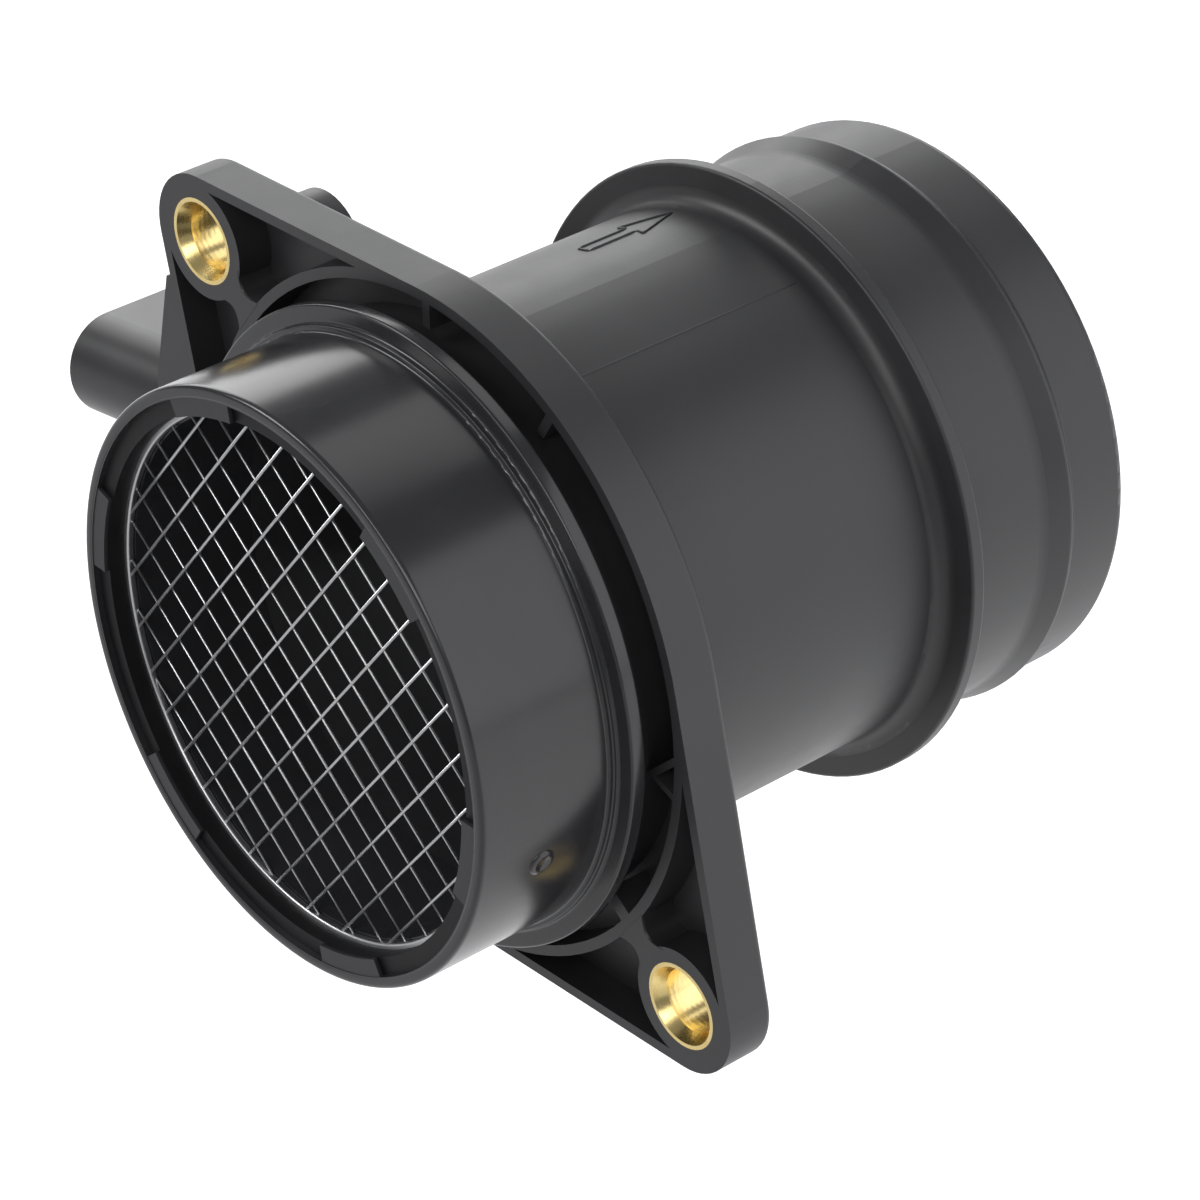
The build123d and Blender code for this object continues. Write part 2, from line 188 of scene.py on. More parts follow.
def addRoom(spec):
    # an even, faint light from everywhere
    world = bpy.data.worlds.new("studioRoom")
    world.use_nodes = True
    background = world.node_tree.nodes["Background"]
    background.inputs["Color"].default_value = spec["roomColour"]
    background.inputs["Strength"].default_value = spec["roomLight"]
    scene.world = world
    scene.view_settings.view_transform = "Standard"


def makePaper(spec):
    # the paper glows evenly where it is looked at, and from dim to bright along X for the part
    material, sheet, shader, place = newMaterial("floorPaper")
    shader.inputs["Base Color"].default_value = spec["floorColour"]
    shader.inputs["Roughness"].default_value = spec["floorMatt"]
    shader.inputs["Specular IOR Level"].default_value = spec["floorSpecular"]
    shader.inputs["Emission Strength"].default_value = 1.0
    along = sheet.node("ShaderNodeSeparateXYZ", {0: place}).outputs["X"]
    bandStart, bandEnd = spec["floorBand"]
    forPart = sheet.remap(along, bandStart, bandEnd, spec["floorDim"], spec["floorBright"])
    looked = sheet.node("ShaderNodeLightPath").outputs["Is Camera Ray"]
    glow = sheet.node("ShaderNodeMix", {"Factor": looked, "A": forPart, "B": spec["floorGlow"]})
    sheet.link(glow.outputs["Result"], shader.inputs["Emission Color"])
    return material


def addFloor(spec):
    # one level sheet of paper, well below the part
    half = spec["floorSize"] / 2
    level = cadLow.z - spec["floorDrop"]
    mesh = bpy.data.meshes.new("studioFloor")
    corners = [(-half, -half, level), (half, -half, level), (half, half, level), (-half, half, level)]
    mesh.from_pydata(corners, [], [(0, 1, 2, 3)])
    mesh.materials.append(makePaper(spec))
    floor = bpy.data.objects.new("studioFloor", mesh)
    scene.collection.objects.link(floor)


addCamera(camera)
addLamps(studio)
addRoom(studio)
addFloor(studio)
print("camera, floor and lamps")

busyNoise = {"detail": 3.0, "rough": 0.6}

# Mould grain: what every moulded and stamped surface shares; scales are per metre
mould = {
    "patchScale": 160.0,
    "cloudScale": 38.0,
    "cloudShare": 0.6,           # of the tone, and the rest is patch
    "grainShare": 0.7,           # of the height, and the rest is patch
    "toneGain": 4.0,
}


def buildMouldGrain(spec):
    # colour = base * (1 + gain * change * (tone - 1/2)), and the gloss follows the patch noise alone
    sheet, given, made = newGroup("mouldGrain", [
        ("Vector", "NodeSocketVector", None),
        ("Base", "NodeSocketColor", (0.02, 0.02, 0.022, 1.0)),
        ("Tone Change", "NodeSocketFloat", 0.15),
        ("Grain Scale", "NodeSocketFloat", 3600.0),
        ("Matt", "NodeSocketFloat", 0.46),
        ("Matt Change", "NodeSocketFloat", 0.06),
    ], [("Color", "NodeSocketColor"), ("Roughness", "NodeSocketFloat"), ("Height", "NodeSocketFloat")])
    place = given.outputs["Vector"]
    grain = sheet.noise(place, given.outputs["Grain Scale"], **busyNoise)
    patch = sheet.noise(place, spec["patchScale"], **busyNoise)
    cloud = sheet.noise(place, spec["cloudScale"])
    tone = sheet.math("ADD", sheet.math("MULTIPLY", cloud, spec["cloudShare"]),
                      sheet.math("MULTIPLY", patch, 1 - spec["cloudShare"]))
    swing = sheet.math("MULTIPLY", sheet.math("SUBTRACT", tone, 0.5), given.outputs["Tone Change"])
    gain = sheet.math("ADD", sheet.math("MULTIPLY", swing, spec["toneGain"]), 1.0)
    colour = sheet.node("ShaderNodeVectorMath", {0: given.outputs["Base"], "Scale": gain},
                        operation="SCALE")
    matt = sheet.math("MULTIPLY_ADD", sheet.math("SUBTRACT", patch, 0.5), given.outputs["Matt Change"],
                      given.outputs["Matt"])
    height = sheet.math("ADD", sheet.math("MULTIPLY", grain, spec["grainShare"]),
                        sheet.math("MULTIPLY", patch, 1 - spec["grainShare"]))
    sheet.link(colour.outputs[0], made.inputs["Color"])
    sheet.link(matt, made.inputs["Roughness"])
    sheet.link(height, made.inputs["Height"])
    return sheet.tree


def buildPolishBand():
    # mask = the smaller of x - start and end - x, over blend, kept between 0 and 1
    sheet, given, made = newGroup("polishBand", [
        ("Vector", "NodeSocketVector", None),
        ("Start", "NodeSocketFloat", -1.0),
        ("End", "NodeSocketFloat", 1.0),
        ("Blend", "NodeSocketFloat", 0.0004),
    ], [("Mask", "NodeSocketFloat")])
    along = sheet.node("ShaderNodeSeparateXYZ", {0: given.outputs["Vector"]}).outputs["X"]
    blend = given.outputs["Blend"]
    rise = sheet.math("DIVIDE", sheet.math("SUBTRACT", along, given.outputs["Start"]), blend)
    fall = sheet.math("DIVIDE", sheet.math("SUBTRACT", given.outputs["End"], along), blend)
    mask = sheet.math("MAXIMUM", sheet.math("MINIMUM", rise, fall), 0.0)
    sheet.link(sheet.math("MINIMUM", mask, 1.0), made.inputs["Mask"])
    return sheet.tree


# Handling scuffs: thin streaks in a few worn areas
scuffs = {
    "stretch": (60.0, 900.0, 900.0),
    "width": 0.02,
    "areaScale": 90.0,
    "areaEdge": (0.52, 0.68),
}


def buildScuffs(spec):
    # a streak runs where a stretched noise is within the width of its middle value, and only where a
    # slow noise is high
    sheet, given, made = newGroup("handlingScuffs", [
        ("Vector", "NodeSocketVector", None),
        ("Stretch", "NodeSocketVector", spec["stretch"]),
        ("Width", "NodeSocketFloat", spec["width"]),
        ("Amount", "NodeSocketFloat", 0.5),
    ], [("Mask", "NodeSocketFloat")])
    place = given.outputs["Vector"]
    drawn = sheet.node("ShaderNodeVectorMath", {0: place, 1: given.outputs["Stretch"]},
                       operation="MULTIPLY")
    near = sheet.math("ABSOLUTE", sheet.math("SUBTRACT", sheet.noise(drawn.outputs[0], 1.0), 0.5))
    line = sheet.remap(near, 0.0, given.outputs["Width"], 1.0, 0.0)
    areaStart, areaEnd = spec["areaEdge"]
    area = sheet.remap(sheet.noise(place, spec["areaScale"]), areaStart, areaEnd, 0.0, 1.0)
    mask = sheet.math("MULTIPLY", sheet.math("MULTIPLY", line, area), given.outputs["Amount"])
    sheet.link(mask, made.inputs["Mask"])
    return sheet.tree


# Turned rings: lathe marks about X
ringMarks = {
    "wobbleScale": 900.0,
    "wobble": 4.0,
    "spreadScale": 420.0,
}


def buildTurnedRings(spec):
    # height = 1/2 + 1/2 sin(ring scale * (radius + x) + wobble), with the radius in the YZ plane
    sheet, given, made = newGroup("turnedRings", [
        ("Vector", "NodeSocketVector", None),
        ("Ring Scale", "NodeSocketFloat", 5200.0),
        ("Matt", "NodeSocketFloat", 0.28),
        ("Matt Change", "NodeSocketFloat", 0.12),
    ], [("Roughness", "NodeSocketFloat"), ("Height", "NodeSocketFloat"), ("Shade", "NodeSocketFloat")])
    place = given.outputs["Vector"]
    apart = sheet.node("ShaderNodeSeparateXYZ", {0: place})
    squares = [sheet.math("MULTIPLY", apart.outputs[axis], apart.outputs[axis]) for axis in "YZ"]
    radius = sheet.math("SQRT", sheet.math("ADD", *squares))
    along = sheet.math("ADD", radius, apart.outputs["X"])
    wobble = sheet.math("MULTIPLY", sheet.noise(place, spec["wobbleScale"]), spec["wobble"])
    wave = sheet.math("SINE", sheet.math("MULTIPLY_ADD", along, given.outputs["Ring Scale"], wobble))
    spread = sheet.noise(place, spec["spreadScale"], **busyNoise)
    matt = sheet.math("MULTIPLY_ADD", sheet.math("SUBTRACT", spread, 0.5), given.outputs["Matt Change"],
                      given.outputs["Matt"])
    sheet.link(matt, made.inputs["Roughness"])
    sheet.link(sheet.math("MULTIPLY_ADD", wave, 0.5, 0.5), made.inputs["Height"])
    sheet.link(spread, made.inputs["Shade"])
    return sheet.tree


mouldGrain = buildMouldGrain(mould)
polishBand = buildPolishBand()
handlingScuffs = buildScuffs(scuffs)
turnedRings = buildTurnedRings(ringMarks)
print("shader groups")

# Plastics: polish is a band of stations along X in millimetres, and depth is the grain's in millimetres
plasticFinishes = {
    "housing_plastic": {"base": (0.024, 0.024, 0.026, 1), "tone": 0.18, "grain": 3400.0, "matt": 0.43,
                        "mattChange": 0.10, "depth": 0.012, "specular": 0.5, "scuff": 0.35,
                        "polish": (-26.0, -2.2), "polishedMatt": 0.20, "polishedDepth": 0.1},
    "module_plastic": {"base": (0.024, 0.024, 0.026, 1), "tone": 0.16, "grain": 3200.0, "matt": 0.36,
                       "mattChange": 0.1, "depth": 0.008, "specular": 0.5, "scuff": 0.3},
    # the ring's base, darker than the housing's, is painted shade for its faces inside the inlet, and the
    # lighter base in its front band is painted light
    "ring_plastic": {"base": (0.007, 0.007, 0.008, 1), "tone": 0.2, "grain": 3000.0, "matt": 0.50,
                     "mattChange": 0.12, "depth": 0.008, "specular": 0.22, "scuff": 0.3,
                     "polish": (-23.0, -21.85), "polishedMatt": 0.40, "polishedDepth": 1.0,
                     "litBandBase": (0.034, 0.034, 0.037, 1)},
    "ceramic": {"base": (0.02, 0.09, 0.045, 1), "tone": 0.3, "grain": 1500.0, "matt": 0.35,
                "mattChange": 0.1, "depth": 0.01, "specular": 0.5, "scuff": 0.0},
    "chip": {"base": (0.03, 0.03, 0.05, 1), "tone": 0.3, "grain": 900.0, "matt": 0.12,
             "mattChange": 0.05, "depth": 0.002, "specular": 0.8, "scuff": 0.0},
    "thermistor": {"base": (0.03, 0.02, 0.015, 1), "tone": 0.3, "grain": 1200.0, "matt": 0.15,
                   "mattChange": 0.05, "depth": 0.004, "specular": 0.6, "scuff": 0.0},
    "seal_rubber": {"base": (0.012, 0.012, 0.012, 1), "tone": 0.3, "grain": 2500.0, "matt": 0.62,
                    "mattChange": 0.1, "depth": 0.02, "specular": 0.35, "scuff": 0.2},
}

# What all the plastics share
plasticWear = {
    "bandBlend": 0.3,            # millimetres over which a polished band starts and ends
    "polishedSwing": 0.5,        # share of the gloss changes that the polish leaves
    "scuffMatt": 0.18,           # roughness that a full scuff adds
}

metalFinishes = {
    "screen_steel": {"base": (0.60, 0.60, 0.61, 1), "tone": 0.08, "grain": 2600.0, "matt": 0.36,
                     "mattChange": 0.2, "depth": 0.006},
    "carrier_steel": {"base": (0.56, 0.56, 0.57, 1), "tone": 0.08, "grain": 1800.0, "matt": 0.32,
                      "mattChange": 0.15, "depth": 0.004},
    "terminal_brass": {"base": (0.72, 0.69, 0.60, 1), "tone": 0.08, "grain": 1800.0, "matt": 0.24,
                       "mattChange": 0.1, "depth": 0.003},
    "screw_steel": {"base": (0.50, 0.51, 0.53, 1), "tone": 0.08, "grain": 1800.0, "matt": 0.30,
                    "mattChange": 0.15, "depth": 0.004},
}


def addGrain(sheet, place, spec):
    # the mould grain with one finish's own values
    return sheet.node("ShaderNodeGroup", {
        "Vector": place, "Base": spec["base"], "Tone Change": spec["tone"], "Grain Scale": spec["grain"],
        "Matt": spec["matt"], "Matt Change": spec["mattChange"],
    }, node_tree=mouldGrain)


def useBump(sheet, shader, height, depth):
    # the height pattern as relief, with its depth in millimetres
    bump = sheet.node("ShaderNodeBump", {"Height": height, "Distance": depth * mm, "Strength": 1.0})
    sheet.link(bump.outputs["Normal"], shader.inputs["Normal"])


def makePlastic(name, spec):
    # grained plastic with a polished band where the finish has one, a lighter colour in that band as
    # painted light where the finish gives one, and scuffs that dull it
    material, sheet, shader, place = newMaterial(name)
    grain = addGrain(sheet, place, spec)
    colour, matt, height = [grain.outputs[label] for label in ("Color", "Roughness", "Height")]
    if "polish" in spec:
        start, end = spec["polish"]
        band = sheet.node("ShaderNodeGroup", {
            "Vector": place, "Start": start * mm, "End": end * mm, "Blend": plasticWear["bandBlend"] * mm,
        }, node_tree=polishBand).outputs["Mask"]
        glossy = sheet.math("MULTIPLY_ADD", sheet.math("SUBTRACT", matt, spec["matt"]),
                            plasticWear["polishedSwing"], spec["polishedMatt"])
        matt = sheet.node("ShaderNodeMix", {"Factor": band, "A": matt, "B": glossy}).outputs["Result"]
        calm = sheet.remap(band, 0.0, 1.0, 1.0, spec["polishedDepth"])
        height = sheet.math("MULTIPLY", sheet.math("SUBTRACT", height, 0.5), calm)
        # in the band the colour turns lighter: painted light on the ring's front
        if "litBandBase" in spec:
            litBandTint = sheet.node("ShaderNodeMix", {"Factor": band, "A": colour, "B": spec["litBandBase"]},
                              data_type="RGBA")
            colour = litBandTint.outputs["Result"]
    if spec["scuff"] > 0:
        scuff = sheet.node("ShaderNodeGroup", {"Vector": place, "Amount": spec["scuff"]},
                           node_tree=handlingScuffs)
        matt = sheet.math("MULTIPLY_ADD", scuff.outputs["Mask"], plasticWear["scuffMatt"], matt)
    sheet.link(colour, shader.inputs["Base Color"])
    sheet.link(matt, shader.inputs["Roughness"])
    shader.inputs["Specular IOR Level"].default_value = spec["specular"]
    useBump(sheet, shader, height, spec["depth"])
    return material


def makeMetal(name, spec):
    # stamped or rolled metal with a faint grain
    material, sheet, shader, place = newMaterial(name)
    grain = addGrain(sheet, place, spec)
    sheet.link(grain.outputs["Color"], shader.inputs["Base Color"])
    sheet.link(grain.outputs["Roughness"], shader.inputs["Roughness"])
    shader.inputs["Metallic"].default_value = 1.0
    useBump(sheet, shader, grain.outputs["Height"], spec["depth"])
    return material


bushFinish = {
    "base": (0.93, 0.74, 0.33, 1.0),
    "deep": (0.78, 0.52, 0.15, 1.0),
    "deepEdge": (0.45, 0.75),    # shade values between which the deep tone comes in
    "deepMost": 0.5,
    "rings": 9000.0,
    "matt": 0.27,
    "mattChange": 0.16,
    "depth": 0.006,
}


def makeBrass(name, spec, centre):
    # turned brass: rings about the bush's own axis, whose (y, z) is the centre
    material, sheet, shader, place = newMaterial(name)
    middle = sheet.node("ShaderNodeMapping", {"Vector": place, "Location": (0, -centre[0], -centre[1])})
    turned = sheet.node("ShaderNodeGroup", {
        "Vector": middle.outputs[0], "Ring Scale": spec["rings"], "Matt": spec["matt"],
        "Matt Change": spec["mattChange"],
    }, node_tree=turnedRings)
    deepStart, deepEnd = spec["deepEdge"]
    share = sheet.remap(turned.outputs["Shade"], deepStart, deepEnd, 0.0, spec["deepMost"])
    tone = sheet.node("ShaderNodeMix", {"Factor": share, "A": spec["base"], "B": spec["deep"]},
                      data_type="RGBA")
    sheet.link(tone.outputs["Result"], shader.inputs["Base Color"])
    sheet.link(turned.outputs["Roughness"], shader.inputs["Roughness"])
    shader.inputs["Metallic"].default_value = 1.0
    useBump(sheet, shader, turned.outputs["Height"], spec["depth"])
    return material


def dress(piece, material):
    # one material in place of what the piece had
    piece.data.materials.clear()
    piece.data.materials.append(material)


finishes = {name: makePlastic(name, spec) for name, spec in plasticFinishes.items()}
finishes.update({name: makeMetal(name, spec) for name, spec in metalFinishes.items()})
for name, piece in nodes.items():
    slotName = piece.data.materials[0].name.split(".")[0]
    if slotName in finishes:
        dress(piece, finishes[slotName])
for name in ("upper_bush", "lower_bush"):
    low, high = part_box(name)
    middle = (low + high) / 2
    dress(nodes[name], makeBrass("brass_" + name, bushFinish, (middle.y, middle.z)))
print("materials:", len(bpy.data.materials))


def gridFaces(rows, columns, closeRows=False):
    # point (r, c) has the number r * columns + c; each quad joins it to its neighbours in the next row and
    # column, and the columns, and the rows where asked, close round
    r = np.arange(rows if closeRows else rows - 1)[:, None]
    c = np.arange(columns)[None, :]
    below, beside = (r + 1) % rows, (c + 1) % columns
    here, there = r * columns, below * columns
    return np.stack([here + c, here + beside, there + beside, there + c], -1).reshape(-1, 4)


def makeSurface(name, points, faces, slotName, smooth=True):
    # points are in millimetres; faces is a list of arrays of corner numbers, one for each corner count;
    # the piece rides the body, and its mesh holds its place
    loops = np.concatenate([group.ravel() for group in faces]).astype(np.int32)
    counts = np.concatenate([np.full(len(group), group.shape[1], np.int32) for group in faces])
    starts = np.concatenate([[0], np.cumsum(counts)[:-1]]).astype(np.int32)
    mesh = bpy.data.meshes.new(name)
    mesh.vertices.add(len(points))
    mesh.vertices.foreach_set("co", (points * mm).astype(np.float32).ravel())
    mesh.loops.add(len(loops))
    mesh.loops.foreach_set("vertex_index", loops)
    mesh.polygons.add(len(counts))
    mesh.polygons.foreach_set("loop_start", starts)
    mesh.polygons.foreach_set("use_smooth", np.full(len(counts), smooth))
    mesh.update(calc_edges=True)
    mesh.validate()
    mesh.materials.append(finishes[slotName])
    piece = bpy.data.objects.new(name, mesh)
    scene.collection.objects.link(piece)
    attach(piece, "root")
    return piece


def closedStack(rings, first, last):
    # rings is rows x columns x 3, and a fan of triangles to first or last closes each end; the columns run
    # anticlockwise about the way from first to last, so that the faces look outwards
    rows, columns = rings.shape[:2]
    points = np.concatenate([rings.reshape(-1, 3), [first, last]])
    c = np.arange(columns)
    beside = (c + 1) % columns
    top = (rows - 1) * columns
    lowCap = np.stack([np.full(columns, rows * columns), beside, c], -1)
    highCap = np.stack([np.full(columns, rows * columns + 1), top + c, top + beside], -1)
    return points, [gridFaces(rows, columns), np.concatenate([lowCap, highCap])]


def joined(parts):
    # several closed surfaces as one: each part's corner numbers move up by the points before it
    points, groups, start = [], [], 0
    for partPoints, partGroups in parts:
        groups += [group + start for group in partGroups]
        points.append(partPoints)
        start += len(partPoints)
    return np.concatenate(points), groups


def latheLoop(profile, segments):
    # a closed clockwise loop of (station, radius) turned about X: x = station, y = r cos t, z = r sin t
    turn = np.linspace(0, 2 * np.pi, segments, endpoint=False)
    station, radius = np.asarray(profile, float).T
    points = np.stack([
        np.repeat(station[:, None], segments, 1),
        radius[:, None] * np.cos(turn),
        radius[:, None] * np.sin(turn),
    ], -1).reshape(-1, 3)
    return points, [gridFaces(len(station), segments, closeRows=True)]


def axes(degrees):
    # outwards from the duct at an angle from +Y towards +Z, and across it
    turn = math.radians(degrees)
    return np.array([0, math.cos(turn), math.sin(turn)]), np.array([0, -math.sin(turn), math.cos(turn)])


# Inlet skin: the polished outside of the spigot, its step and its shoulder disc, turned finely
skin = {
    "proud": 0.05, "segments": 720, "cornerSteps": 7,
    "outsideFrom": 35.0,         # corners at this radius or more stand proud
    "frontBefore": -3.5,         # corners before this station move forward, and the others back
    "corners": [
        # station, radius, corner cut; the loop's last corners lie inside the moulding
        (-21.2, 33.63, 0.0), (-22.5, 33.63, 0.3), (-22.5, 35.0, 0.7), (-5.1, 35.0, 0.46),
        (-5.1, 35.7, 0.22), (-4.4, 35.7, 0.46), (-4.4, 37.9, 0.36), (-2.6, 37.9, 0.36),
        (-2.6, 35.9, 0.0), (-3.4, 34.4, 0.0), (-20.4, 34.4, 0.0),
    ],
}


def proudLoop(spec):
    # radius grows by the proud height outside, and the cut corners move along X away from each other
    moved = []
    for station, radius, cut in spec["corners"]:
        shift = -spec["proud"] if station < spec["frontBefore"] else spec["proud"]
        lift = spec["proud"] if radius >= spec["outsideFrom"] else 0.0
        moved.append((station + (shift if cut else 0.0), radius + lift, cut))
    return moved


def roundedLoop(corners, steps):
    # each corner is cut back along both sides, and between the cuts runs a quadratic curve:
    # (1 - t)^2 first + 2 t (1 - t) corner + t^2 last
    spots = np.array([corner[:2] for corner in corners], float)
    back, ahead = np.roll(spots, 1, 0) - spots, np.roll(spots, -1, 0) - spots
    path = []
    for (station, radius, cut), b, a in zip(corners, back, ahead):
        if cut == 0:
            path.append([(station, radius)])
            continue
        here = np.array([station, radius])
        first, last = here + b / np.linalg.norm(b) * cut, here + a / np.linalg.norm(a) * cut
        t = np.linspace(0, 1, steps)[:, None]
        path.append((1 - t) ** 2 * first + 2 * t * (1 - t) * here + t ** 2 * last)
    return np.concatenate(path)


skinLoop = roundedLoop(proudLoop(skin), skin["cornerSteps"])
makeSurface("inletSkin", *latheLoop(skinLoop, skin["segments"]), "housing_plastic")
print("inlet skin")

# Ear webs: the thick root between each ear's boss and the curved wall of the channel
earWeb = {
    "degrees": (36.4, 216.4), "inner": 40.4, "outer": 45.2, "wide": 3.3, "waist": 1.5, "steps": 16,
    "front": -0.03, "back": 4.6, "edge": 0.2,
    "drawnIn": 0.2 / 3,          # share by which the outline is smaller at the front
}


def earWebSolid(spec, degrees):
    # outline in the ear's own frame: half width = wide - waist * sin(pi v) from inner to outer radius,
    # drawn in slightly at the front for a soft edge and carried straight to the back
    v = np.linspace(0, 1, spec["steps"])
    along = spec["inner"] + (spec["outer"] - spec["inner"]) * v
    half = spec["wide"] - spec["waist"] * np.sin(np.pi * v)
    outline = np.concatenate([np.stack([along, -half], -1), np.stack([along, half], -1)[::-1]])
    middle = outline.mean(0)
    front, edge = spec["front"], spec["edge"]
    levels = [(front, 1 - spec["drawnIn"]), (front + edge, 1.0), (spec["back"], 1.0)]
    outward, across = axes(degrees)
    rings = []
    for station, share in levels:
        flat = middle + (outline - middle) * share
        rings.append(flat[:, :1] * outward + flat[:, 1:] * across + np.array([station, 0, 0]))
    centre = middle[0] * outward
    return closedStack(np.array(rings), centre + np.array([front, 0, 0]),
                       centre + np.array([spec["back"], 0, 0]))


webs = joined([earWebSolid(earWeb, angle) for angle in earWeb["degrees"]])
makeSurface("earWebs", *webs, "housing_plastic", smooth=False)
print("ear webs")

# Raised ridges: the round bead that the arrow and the parting lines are drawn with
ridge = {
    "sides": 12, "sunk": 0.12,
    "tip": 0.25,                 # share of the full section at each end
    "taper": 14.0,               # how fast the section grows from there, per length of the ridge
}


def ridgeAround(stations, degrees, radius, width, height, spec=ridge):
    # path = (x, radius * (cos a, sin a)); across it the section is width / 2 * cos u sideways and
    # height * sin u outwards, or sunk * sin u below the surface, drawn in at both ends
    x, turn = np.asarray(stations, float), np.radians(degrees)
    outward = np.stack([0 * turn, np.cos(turn), np.sin(turn)], -1)
    path = radius * outward
    path[:, 0] += x
    tangent = np.gradient(path, axis=0)
    tangent /= np.linalg.norm(tangent, axis=1)[:, None]
    across = np.cross(tangent, outward)
    u = np.linspace(0, 2 * np.pi, spec["sides"], endpoint=False)
    side = (width / 2 * np.cos(u))[None, :, None] * across[:, None]
    lift = np.where(np.sin(u) > 0, height * np.sin(u), spec["sunk"] * np.sin(u))
    section = side + lift[None, :, None] * outward[:, None]
    step = np.linspace(0, 1, len(x))
    shrink = np.clip(np.minimum(step, 1 - step) * spec["taper"] + spec["tip"], 0, 1)
    rings = path[:, None] + shrink[:, None, None] * section
    return closedStack(rings[:, ::-1], path[0], path[-1])


# Flow arrow: the outline of a narrow arrow raised on the tube, pointing to the outlet
arrow = {
    "radius": 33.2, "width": 0.34, "height": 0.2, "steps": 10,
    "runs": [
        # corners as (station, degrees about the duct)
        [(29.2, 76.0), (36.4, 75.9)],
        [(29.2, 72.6), (36.4, 72.6)],
        [(36.4, 75.9), (36.2, 78.2), (42.6, 74.2)],
        [(36.4, 72.6), (36.2, 70.3), (42.6, 74.2)],
        [(29.2, 72.6), (29.2, 76.0)],
    ],
}


def cornered(corners, steps):
    # straight runs between corners: point = from * (1 - t) + to * t, with steps points on each run
    corners = np.asarray(corners, float)
    t = np.linspace(0, 1, steps, endpoint=False)[None, :, None]
    runs = corners[:-1, None] * (1 - t) + corners[1:, None] * t
    return np.concatenate([runs.reshape(-1, 2), corners[-1:]]).T


arrowLines = [
    ridgeAround(*cornered(run, arrow["steps"]), arrow["radius"], arrow["width"], arrow["height"])
    for run in arrow["runs"]
]
makeSurface("flowArrow", *joined(arrowLines), "housing_plastic")
print("flow arrow")

# Parting lines: fine flash where the halves of the mould met
seams = {
    "width": 0.20, "height": 0.05, "steps": 30,
    "lines": [
        # radius, first and last station, degrees about the duct
        (33.2, (7.5, 43.0), 109.6),
        (33.2, (7.5, 43.0), 289.6),
        (40.8, (0.5, 5.2), 173.9),
        (40.8, (0.5, 5.2), 353.9),
        (35.0, (-21.8, -6.4), 289.6),
    ],
}

seamLines = []
for radius, stations, degrees in seams["lines"]:
    run = np.linspace(*stations, seams["steps"])
    seamLines.append(ridgeAround(run, np.full(len(run), degrees), radius, seams["width"], seams["height"]))
makeSurface("partingLines", *joined(seamLines), "housing_plastic")
print("parting lines")

# Bayonet nubs: two low round marks on the inlet spigot, with a dished middle
nub = {
    "radius": 35.0, "station": -13.8, "degrees": (-166.7, 13.3), "reach": 1.7, "height": 0.42,
    "dish": 0.25, "dishShare": 0.62, "sunk": 0.3, "rings": 13, "segments": 48,
}


def roundMark(spec, degrees):
    # rings of radius p on the cylinder: x = station + p cos t, angle = degrees + p sin t / radius; with
    # share = p / reach the height is height * sqrt(1 - share^4) less dish * (1 - (share / dishShare)^2)
    share = np.linspace(0, 1, spec["rings"] + 1)[1:]
    dish = spec["dish"] * np.clip(1 - (share / spec["dishShare"]) ** 2, 0, 1)
    lift = spec["height"] * np.sqrt(np.clip(1 - share ** 4, 0, 1)) - dish
    p, lift = np.append(share, 1.0) * spec["reach"], np.append(lift, -spec["sunk"])
    t = np.linspace(0, 2 * np.pi, spec["segments"], endpoint=False)
    middle = math.radians(degrees)
    angle = middle + p[:, None] * np.sin(t) / spec["radius"]
    outer = spec["radius"] + lift[:, None] + 0 * t
    along = spec["station"] + p[:, None] * np.cos(t)
    rings = np.stack([along, outer * np.cos(angle), outer * np.sin(angle)], -1)
    outward = axes(degrees)[0]
    centre = np.array([spec["station"], 0, 0])
    return closedStack(rings, centre + outward * (spec["radius"] + spec["height"] - spec["dish"]),
                       centre + outward * (spec["radius"] - spec["sunk"]))


makeSurface("spigotNubs", *joined([roundMark(nub, angle) for angle in nub["degrees"]]), "housing_plastic")
print("spigot nubs")

# Module screws: pan heads with a six-lobed socket
screws = {
    "portX": 26.0, "portDegrees": -9.3, "seat": 43.5, "segments": 72,
    "spots": {"module_screw_front": (13.2, -10.6), "module_screw_rear": (-13.2, 10.6)},
    "shank": 9.0, "shankRadius": 1.88, "headRadius": 3.3, "headHeight": 2.5, "headEdge": 0.15,
    "dome": [
        # share of the head's radius, height over the seat
        (1.0, 0.9), (0.97, 1.35), (0.88, 1.8), (0.74, 2.2), (0.58, 2.44),
    ],
    "socketRadius": 1.35, "socketDepth": 1.5, "lobes": 6, "lobe": 0.16,
    "lip": (0.28, 0.06, 0.1),    # start and end of the socket's lip outside its radius, and its depth
    "socketFoot": (0.9, 0.05, 0.2),  # share of the radius at the bottom edge, its drop, and the middle's
}


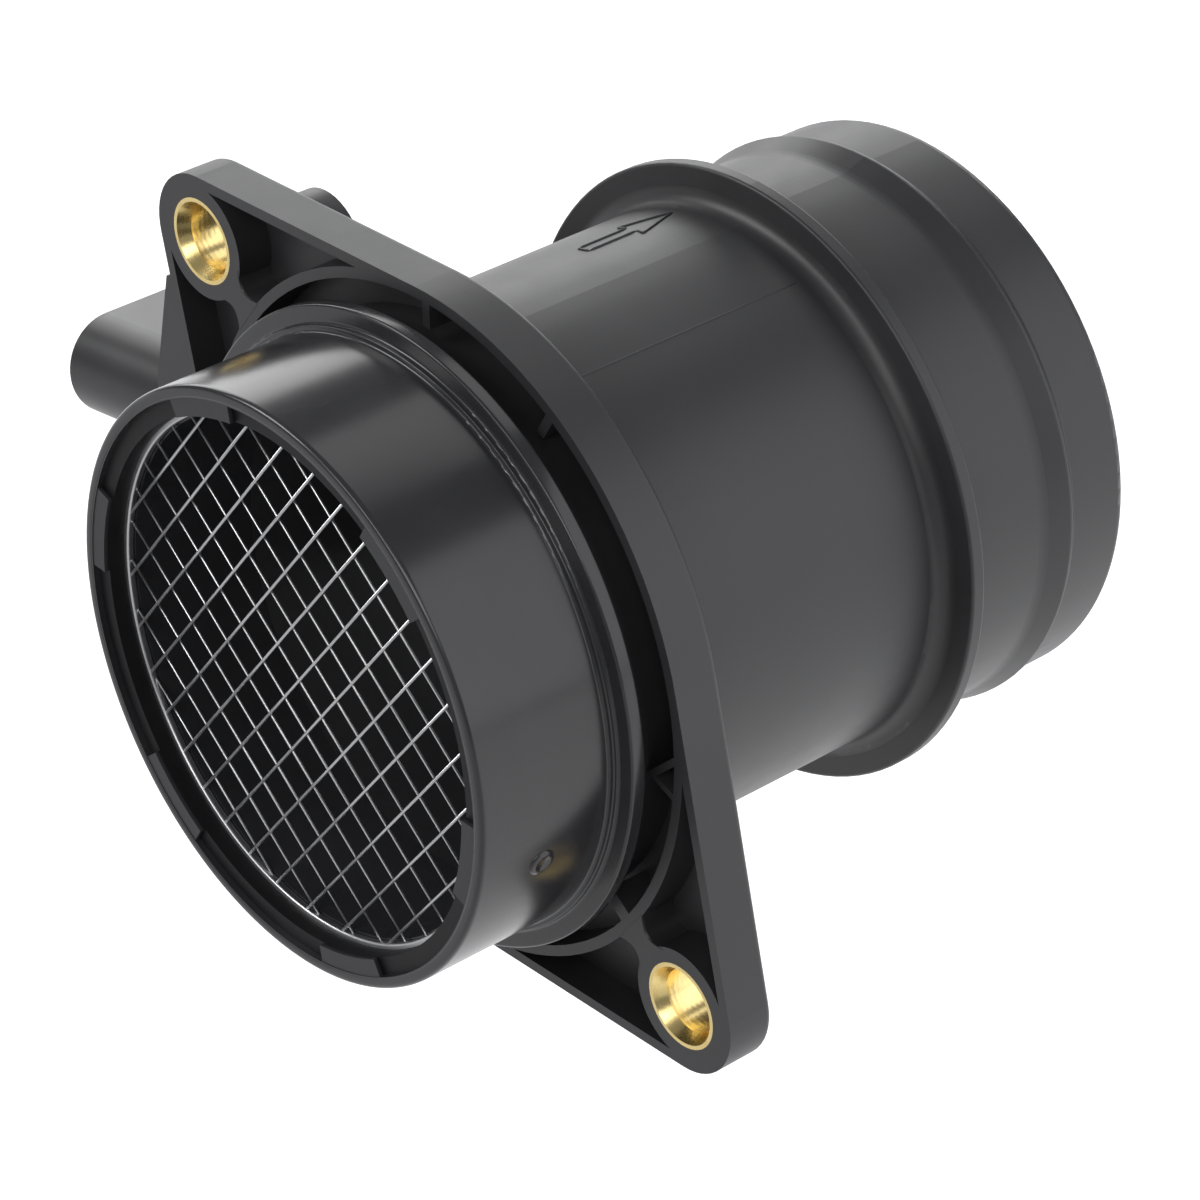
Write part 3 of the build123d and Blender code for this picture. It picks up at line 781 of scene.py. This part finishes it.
def lobedScrew(spec, spot):
    # rings of (radius, height) about the screw's axis; inside the socket the radius gains lobe * cos(6 t)
    head, edge, top = spec["headRadius"], spec["headEdge"], spec["headHeight"]
    socket = spec["socketRadius"]
    lipStart, lipEnd, lipDepth = spec["lip"]
    footShare, footDrop, middleDrop = spec["socketFoot"]
    bottom = top - spec["socketDepth"]
    rows = [(spec["shankRadius"], -spec["shank"], 0), (spec["shankRadius"], 0, 0), (head - edge, 0, 0),
            (head, edge, 0)]
    rows += [(head * share, height, 0) for share, height in spec["dome"]]
    rows += [(socket + lipStart, top, 0.5), (socket + lipEnd, top, 1), (socket, top - lipDepth, 1),
             (socket, bottom, 1), (socket * footShare, bottom - footDrop, 1)]
    radius, height, lobed = np.array(rows, float).T[:, :, None]
    t = np.linspace(0, 2 * np.pi, spec["segments"], endpoint=False)
    reach = radius + lobed * spec["lobe"] * np.cos(spec["lobes"] * t)
    first = np.array([-1.0, 0, 0])
    outward, second = axes(spec["portDegrees"])
    foot = np.array([spec["portX"], 0, 0]) + first * spot[0] + second * spot[1] + outward * spec["seat"]
    rings = (foot + (reach * np.cos(t))[..., None] * first + (reach * np.sin(t))[..., None] * second
             + (height + 0 * t)[..., None] * outward)
    return closedStack(rings, foot - outward * spec["shank"], foot + outward * (bottom - middleDrop))


for nodeName, spot in screws["spots"].items():
    screwPiece = makeSurface(nodeName + "_lobed", *lobedScrew(screws, spot), "screw_steel")
    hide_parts(nodeName)
print("module screws")

# Screen: a stamped rim and two layers of straight round wires
screen = {
    "rimInner": 30.9, "rimOuter": 33.3, "rimFront": -19.6, "rimBack": -18.65, "rimEdge": 0.25,
    "edgeSteps": 4, "rimSegments": 240, "wireSides": 12, "wireReach": 32.15,
    "layers": [
        # angle from +Y, pitch, count, shift, station, wire radius
        (127.9, 4.703, 13, 0.016, -19.26, 0.18),
        (38.17, 4.6, 13, -0.4, -18.94, 0.145),
    ],
}


def screenRim(spec):
    # a rectangle of (station, radius) with corner arcs, centre + edge * (cos t, sin t), turned about X
    edge = spec["rimEdge"]
    front, back = spec["rimFront"] + edge, spec["rimBack"] - edge
    inner, outer = spec["rimInner"] + edge, spec["rimOuter"] - edge
    loop = []
    corners = [(back, outer, 0), (front, outer, 90), (front, inner, 180), (back, inner, 270)]
    for station, radius, start in corners:
        turn = np.radians(np.linspace(start, start + 90, spec["edgeSteps"]))
        loop += list(zip(station + edge * np.cos(turn), radius + edge * np.sin(turn)))
    return latheLoop(loop[::-1], spec["rimSegments"])


def wireTubes(spec):
    # each wire is a straight tube: point = middle +- half length * direction, with a ring round each end
    # of wire radius * (X cos a + across sin a)
    tubes = []
    turn = np.linspace(0, 2 * np.pi, spec["wireSides"], endpoint=False)
    for angle, pitch, count, shift, station, thick in spec["layers"]:
        direction, across = axes(angle)
        offset = (np.arange(count) - (count - 1) / 2) * pitch + shift
        half = np.sqrt(spec["wireReach"] ** 2 - offset ** 2)
        ring = thick * (np.cos(turn)[:, None] * np.array([1.0, 0, 0]) + np.sin(turn)[:, None] * across)
        for o, h in zip(offset, half):
            middle = np.array([station, 0, 0]) + across * o
            start, end = middle - direction * h, middle + direction * h
            tubes.append(closedStack(np.stack([end + ring, start + ring]), end, start))
    return tubes


screenPiece = makeSurface("screenMesh", *joined([screenRim(screen)] + wireTubes(screen)), "screen_steel")
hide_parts("wire_screen")
print("screen wires")
